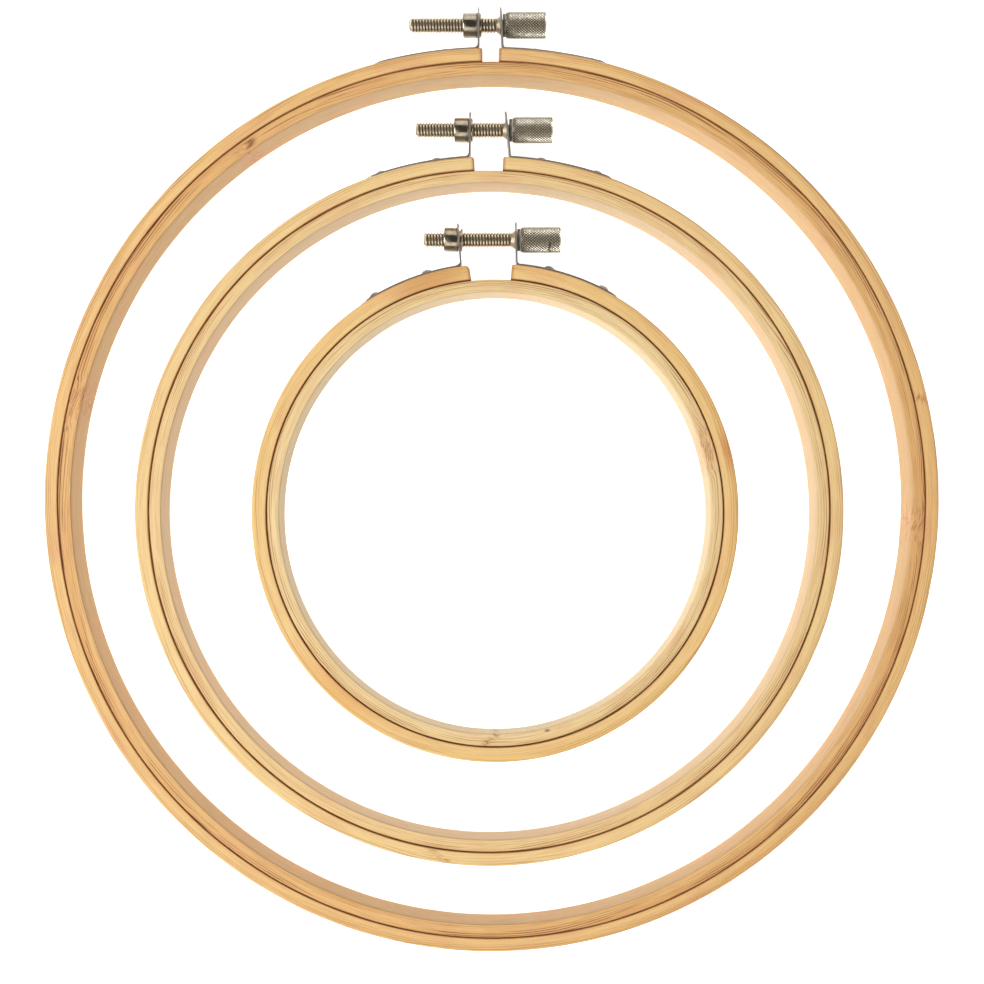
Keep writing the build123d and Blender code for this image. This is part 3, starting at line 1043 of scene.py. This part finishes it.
def bamboo(hoop, ring, seed, tones, knuckles=(), stains=(), veins=0.5, pink=0.25):
    """The finish of one ring, inner or outer. Lengths are in mm, directions in degrees.

    The tones are pale, deep, vein, face (the wall towards the middle) and skin (the outside).
    A knuckle is a direction, a slant, a width and how dark its crack is. A stain is a
    direction, a width, a strength, a tone and the two depths in the wall that it lies between.
    """
    name = f"bamboo_{hoop.name}_{ring}"
    material, nodes, shader = new_material(name)
    wall = (hoop.inner_wall if ring == "inner" else hoop.outer_wall) / MM
    pale, deep, vein_tone, face, skin = [shade(*tone) for tone in tones]
    round_place = nodes.add(
        "ShaderNodeAttribute", output="Vector", attribute_name="round_the_hoop")
    section = nodes.add("ShaderNodeAttribute", output="Vector", attribute_name="in_the_strip")
    depth = nodes.part(section, "X")
    radius = hoop.radius / MM
    place = {"Round": round_place, "Depth": depth, "Radius": radius}
    where = {**place, "Height": nodes.part(section, "Y")}
    ragged = place_group(nodes, strands, {
        **where, "Strands per mm": 1.6, "Length": 9.0, "Seed": seed + 57, "Detail": 2.0})["Value"]

    def mark(degrees, slant, width):
        turn = math.radians(degrees)
        return place_group(nodes, knuckle, {
            **place, "Ragged": ragged, "Direction": (math.cos(turn), math.sin(turn), 0),
            "Slant": slant, "Blush width": width})

    lines, blushes, swerves = 0.0, 0.0, 0.0
    for degrees, slant, width, crack in knuckles:
        spot = mark(degrees, slant, width)
        lines = nodes.math("MULTIPLY_ADD", spot["Line"], crack, lines)
        blushes = nodes.math("ADD", blushes, spot["Blush"])
        swerves = nodes.math("ADD", swerves, spot["Swerve"])
    strip = place_group(nodes, grain, {**where, "Wall": wall, "Seed": seed, "Swerve": swerves})

    towards_skin = nodes.ramp(depth, 0.35 * wall, wall)
    broad = nodes.math("MULTIPLY", nodes.ramp(strip["Broad"], 0.3, 0.7), 0.6)
    colour = nodes.mix(nodes.math("MULTIPLY_ADD", towards_skin, 0.55, broad), pale, deep)
    colour = nodes.tint(colour, nodes.ramp(depth, 0.3, 0.06), 0.9, face)
    colour = nodes.tint(colour, nodes.ramp(depth, wall - 0.35, wall - 0.08), 0.8, skin)
    colour = nodes.tint(colour, nodes.ramp(strip["Patches"], 0.5, 0.72), pink, BLUSH_PINK)
    colour = nodes.tint(colour, nodes.ramp(strip["Fibre"], 0.42, 0.7), 0.28, vein_tone)
    colour = nodes.tint(colour, strip["Veins"], veins, vein_tone)
    swerved = nodes.math("MULTIPLY_ADD", swerves, 0.35, depth)
    tangle = place_group(nodes, strands, {
        **where, "Depth": swerved, "Strands per mm": 3.2, "Length": 2.5, "Seed": seed + 71,
        "Detail": 1.0})["Value"]
    colour = nodes.tint(colour, blushes, 0.25, KNUCKLE_PINK)
    streaks = nodes.math("MULTIPLY", nodes.ramp(tangle, 0.5, 0.6), 0.6)
    colour = nodes.tint(colour, blushes, streaks, KNUCKLE_STRAND)
    colour = nodes.tint(colour, lines, 0.35, KNUCKLE_CRACK)
    for degrees, width, strength, tone, from_depth, to_depth in stains:
        spread = nodes.math("MULTIPLY", mark(degrees, 0.0, width)["Blush"], strength)
        spread = nodes.math("MULTIPLY", nodes.ramp(depth, from_depth - 0.4, from_depth), spread)
        ends = nodes.ramp(depth, to_depth + 0.4, to_depth)
        colour = nodes.tint(colour, ends, spread, shade(*tone))
    if ring == "outer":
        from_end = nodes.part(section, "Z")
        # Darker brown within 1.1 mm of each split end.
        colour = nodes.tint(colour, nodes.ramp(from_end, 1.1, 0.0), 0.8, SPLIT_END_BROWN)
    nodes.link(colour, shader.inputs["Base Color"])

    rough = nodes.math("MULTIPLY_ADD", strip["Fibre"], 0.25, 0.42)
    nodes.link(rough, shader.inputs["Roughness"])
    shader.inputs["Specular IOR Level"].default_value = 0.35
    relief = nodes.math("MULTIPLY_ADD", strip["Veins"], -0.8, strip["Fibre"])
    relief = nodes.math("MULTIPLY_ADD", lines, -0.8, relief)
    bump = nodes.add(
        "ShaderNodeBump", {"Height": relief, "Strength": 0.5, "Distance": 0.12 * MM})
    nodes.link(bump, shader.inputs["Normal"])
    finishes[name] = material


bamboo(
    hoops["large"], "inner", 2.0,
    [(236, 190, 126), (222, 166, 102), (138, 80, 36), (194, 162, 115), (198, 142, 86)],
    knuckles=[(166.3, 0.8, 8.5, 0.0), (-2.8, -0.5, 9.5, 0.0), (125.0, 0.9, 4.5, 0.4)],
    stains=[(124.4, 2.5, 0.85, (128, 82, 48), 1.1, 2.5)], veins=1.0)
bamboo(
    hoops["large"], "outer", 17.0,
    [(242, 200, 136), (233, 185, 118), (176, 120, 66), (208, 158, 100), (204, 168, 126)],
    knuckles=[(13.8, -0.8, 2.0, 0.5)], veins=0.7, pink=0.4)
bamboo(
    hoops["middle"], "inner", 31.0,
    [(243, 212, 156), (236, 198, 138), (170, 118, 66), (196, 171, 133), (212, 168, 112)],
    veins=0.85)
bamboo(
    hoops["middle"], "outer", 47.0,
    [(244, 212, 152), (238, 200, 136), (192, 142, 86), (214, 168, 108), (212, 178, 134)],
    knuckles=[(-99.9, 1.4, 2.5, 0.2)], veins=0.6)
bamboo(
    hoops["small"], "inner", 61.0,
    [(242, 214, 160), (236, 202, 144), (172, 122, 68), (196, 174, 136), (212, 172, 118)],
    knuckles=[(15.6, 0.7, 9.0, 0.2), (-90.0, -0.9, 2.5, 0.9)],
    stains=[(-76.3, 1.1, 0.8, (116, 76, 46), 0.6, 0.9)], veins=0.95)
bamboo(
    hoops["small"], "outer", 83.0,
    [(243, 206, 142), (236, 192, 120), (184, 128, 70), (208, 156, 98), (220, 168, 110)],
    stains=[
        (106.0, 16.0, 0.6, (204, 138, 80), -9, 9), (-132.0, 20.0, 0.5, (228, 164, 90), -9, 9),
        (15.0, 8.0, 0.7, (210, 138, 80), 1.8, 9)], veins=0.6)
print("ring finishes", list(finishes))

# %% [markdown]
# The hardware is plated steel that has been handled. One even tint would look like a coat of
# paint, so fine dull patches and small scratches come from one group. Each metal sets its own
# tint and gloss. On the thread and the knurl a darker tone is painted at the bottom of the
# grooves, and over the head's collar and the screw's flare: painted shade, which makes them
# stand out.

# %% Handling wear, shared by every metal
def make_handling():
    group, nodes, given, result = new_group(
        "handling_wear",
        [("Place", VECTOR, None), ("Patch size mm", FLOAT, 2.0), ("Scratches per mm", FLOAT, 2.0)],
        [("Patches", FLOAT), ("Scratches", FLOAT)])
    per_metre = nodes.math("DIVIDE", 1 / MM, given["Patch size mm"])
    patch = nodes.add("ShaderNodeTexNoise", {
        "Vector": given["Place"], "Scale": per_metre, "Detail": 4.0, "Roughness": 0.6})
    stretched = nodes.add("ShaderNodeMapping", {
        "Vector": given["Place"], "Rotation": (0.3, 0.5, 0.4), "Scale": (1.0, 9.0, 6.0)})
    scratch_scale = nodes.math("MULTIPLY", given["Scratches per mm"], 1 / MM)
    scratch = nodes.add("ShaderNodeTexNoise", {
        "Vector": stretched, "Scale": scratch_scale, "Detail": 2.0, "Roughness": 0.7})
    nodes.link(nodes.ramp(patch, 0.35, 0.75), result["Patches"])
    nodes.link(nodes.ramp(scratch, 0.60, 0.68), result["Scratches"])
    return group


handling = make_handling()


def metal(name, bright, dull, low_rough, high_rough, patch_mm=2.0, groove_shade=None):
    """A plated metal: bright and dull tones, the range of its roughness, painted shade in grooves.
    """
    bright, dull = shade(*bright), shade(*dull)
    material, nodes, shader = new_material(name)
    place = nodes.add("ShaderNodeTexCoord", output="Object")
    wear = place_group(
        nodes, handling, {"Place": place, "Patch size mm": patch_mm, "Scratches per mm": 1.2})
    colour = nodes.mix(wear["Patches"], bright, dull)
    colour = nodes.tint(colour, wear["Scratches"], 0.25, bright)
    rough = nodes.math("MULTIPLY_ADD", wear["Patches"], high_rough - low_rough, low_rough)
    # Painted shade: the groove note darkens the bottoms of grooves, the collar and the flare.
    if groove_shade:
        groove = nodes.add("ShaderNodeAttribute", output="Fac", attribute_name="groove")
        painted_groove_shade = nodes.ramp(groove, 0.3, 1.0)
        colour = nodes.tint(colour, painted_groove_shade, 0.85, shade(*groove_shade))
        rough = nodes.math("MULTIPLY_ADD", painted_groove_shade, 0.3, rough)
    nodes.link(colour, shader.inputs["Base Color"])
    nodes.link(rough, shader.inputs["Roughness"])
    shader.inputs["Metallic"].default_value = 1.0
    bump = nodes.add("ShaderNodeBump", {
        "Height": wear["Scratches"], "Strength": 0.3, "Distance": -0.01 * MM})
    nodes.link(bump, shader.inputs["Normal"])
    finishes[name] = material


metal("bracket_steel", (178, 173, 165), (156, 151, 143), 0.38, 0.52)
metal("rivet_steel", (172, 170, 166), (116, 112, 106), 0.28, 0.45, 1.0)
metal("nut_nickel", (176, 165, 145), (154, 143, 122), 0.14, 0.28, 1.5)
# The last tone of the screw and of the head is their painted groove shade.
metal("screw_nickel", (226, 213, 188), (200, 187, 161), 0.3, 0.45, 1.2, (118, 104, 82))
metal("head_nickel", (236, 228, 211), (208, 199, 180), 0.3, 0.45, 1.2, (92, 82, 66))
print("finishes", len(finishes))

# %% [markdown]
# Each finished piece now stands for its solid and rides its body. The left half of a split
# ring is springy, so riding one body would tear it from the other half or from its bracket.
# It is given no body here.

# %% Hand the pieces over
def hand_over(piece, body, node, slot):
    """Lets a finished piece ride its body, stand for its solid and take its finish."""
    piece.data.materials.clear()
    piece.data.materials.append(finishes[slot])
    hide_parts(node)
    if body:
        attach(piece, body)


for name, hoop in hoops.items():
    still, lug, screw = f"{name}_outer", f"{name}_left_lug", f"{name}_screw"
    hand_over(inner_rings[name], f"{name}_inner", f"{name}_inner_ring", f"bamboo_{name}_inner")
    for side, side_name in SIDE_NAMES.items():
        half = outer_halves[name, side]
        side_body = lug if side == LEFT else still
        half_body = None if side == LEFT else still
        hand_over(half, half_body, f"{name}_outer_ring", f"bamboo_{name}_outer")
        hand_over(brackets[name, side], side_body, f"{name}_{side_name}_bracket", "bracket_steel")
        hand_over(rivet_pairs[name, side], side_body, f"{name}_{side_name}_rivets", "rivet_steel")
    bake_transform(outer_halves[name, LEFT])
    hand_over(nuts[name], lug, f"{name}_barrel_nut", "nut_nickel")
    hand_over(rods[name], screw, f"{name}_threaded_rod", "screw_nickel")
    hand_over(heads[name], screw, f"{name}_knurled_head", "head_nickel")
print("handed over", list(hoops))

# %% [markdown]
# The hoops lie on a plain white table, far wider than the picture, so that its edge stays far
# away from any side. A rough white is all it needs. It glows faintly, which thins the shadows
# that the rings throw on it.

# %% Table
TABLE_SIZE = 12.0
BELOW_HOOPS = 0.2 * MM

clear_selection()
bpy.ops.mesh.primitive_grid_add(
    x_subdivisions=8, y_subdivisions=8, size=TABLE_SIZE, location=(0, 0, -BELOW_HOOPS))
table = bpy.context.object
table.name = "table_top"
table_finish, table_nodes, table_shader = new_material("table_white")
table_place = table_nodes.add("ShaderNodeTexCoord", output="Object")
mottle = table_nodes.add(
    "ShaderNodeTexNoise", {"Vector": table_place, "Scale": 30.0, "Detail": 3.0})
table_tone = table_nodes.mix(mottle, (0.85, 0.85, 0.85, 1), (0.88, 0.88, 0.88, 1))
table_nodes.link(table_tone, table_shader.inputs["Base Color"])
table_shader.inputs["Roughness"].default_value = 0.8
table_shader.inputs["Specular IOR Level"].default_value = 0.2
table_shader.inputs["Emission Color"].default_value = (1, 1, 1, 1)
table_shader.inputs["Emission Strength"].default_value = 0.86
table.data.materials.append(table_finish)
print("table", TABLE_SIZE, "m across")

# %% [markdown]
# In the photograph the walls that face left are lighter than those that face right, and there
# is hardly a shadow on the ground. One lamp would throw a hard one, so four large soft lights
# stand round the table and look at the middle of the set. The one on the left is by far the
# strongest, and the others fill the dark side.

# %% Lights
def softbox(name, place, size, power):
    """A square soft light that looks at the middle of the set."""
    data = bpy.data.lights.new(name, "AREA")
    data.shape = "SQUARE"
    data.size = size
    data.energy = power
    light = bpy.data.objects.new(name, data)
    light.location = place
    light.rotation_mode = "QUATERNION"
    light.rotation_quaternion = (-Vector(place)).to_track_quat("-Z", "Y")
    bpy.context.scene.collection.objects.link(light)


softbox("left_softbox", (-0.95, -0.25, 0.75), 0.9, 14.5)
softbox("right_softbox", (1.0, 0.15, 0.85), 1.2, 1.6)
softbox("back_softbox", (0.1, 1.2, 0.75), 1.2, 4.4)
softbox("front_softbox", (-0.15, -1.2, 0.75), 1.2, 5.4)
print("lights", len(bpy.data.lights))

# %% [markdown]
# Polished metal shows the room it stands in. Here the room is dark overhead and paler towards
# the horizon, so the screws and nuts show dark in the middle and bright at their sides, as
# they do under a camera.

# %% Room
world = bpy.data.worlds.new("studio")
world.use_nodes = True
room = Nodes(world.node_tree)
upwards = room.part(room.add("ShaderNodeTexCoord", output="Generated"), "Z")
room_tone = room.mix(room.ramp(upwards, 0.92, 0.55), (0.08, 0.08, 0.075, 1), (0.42, 0.42, 0.42, 1))
room.link(room_tone, world.node_tree.nodes["Background"].inputs["Color"])
bpy.context.scene.world = world
bpy.context.scene.view_settings.view_transform = "Standard"
bpy.context.scene.view_settings.look = "None"
print("room", world.name)
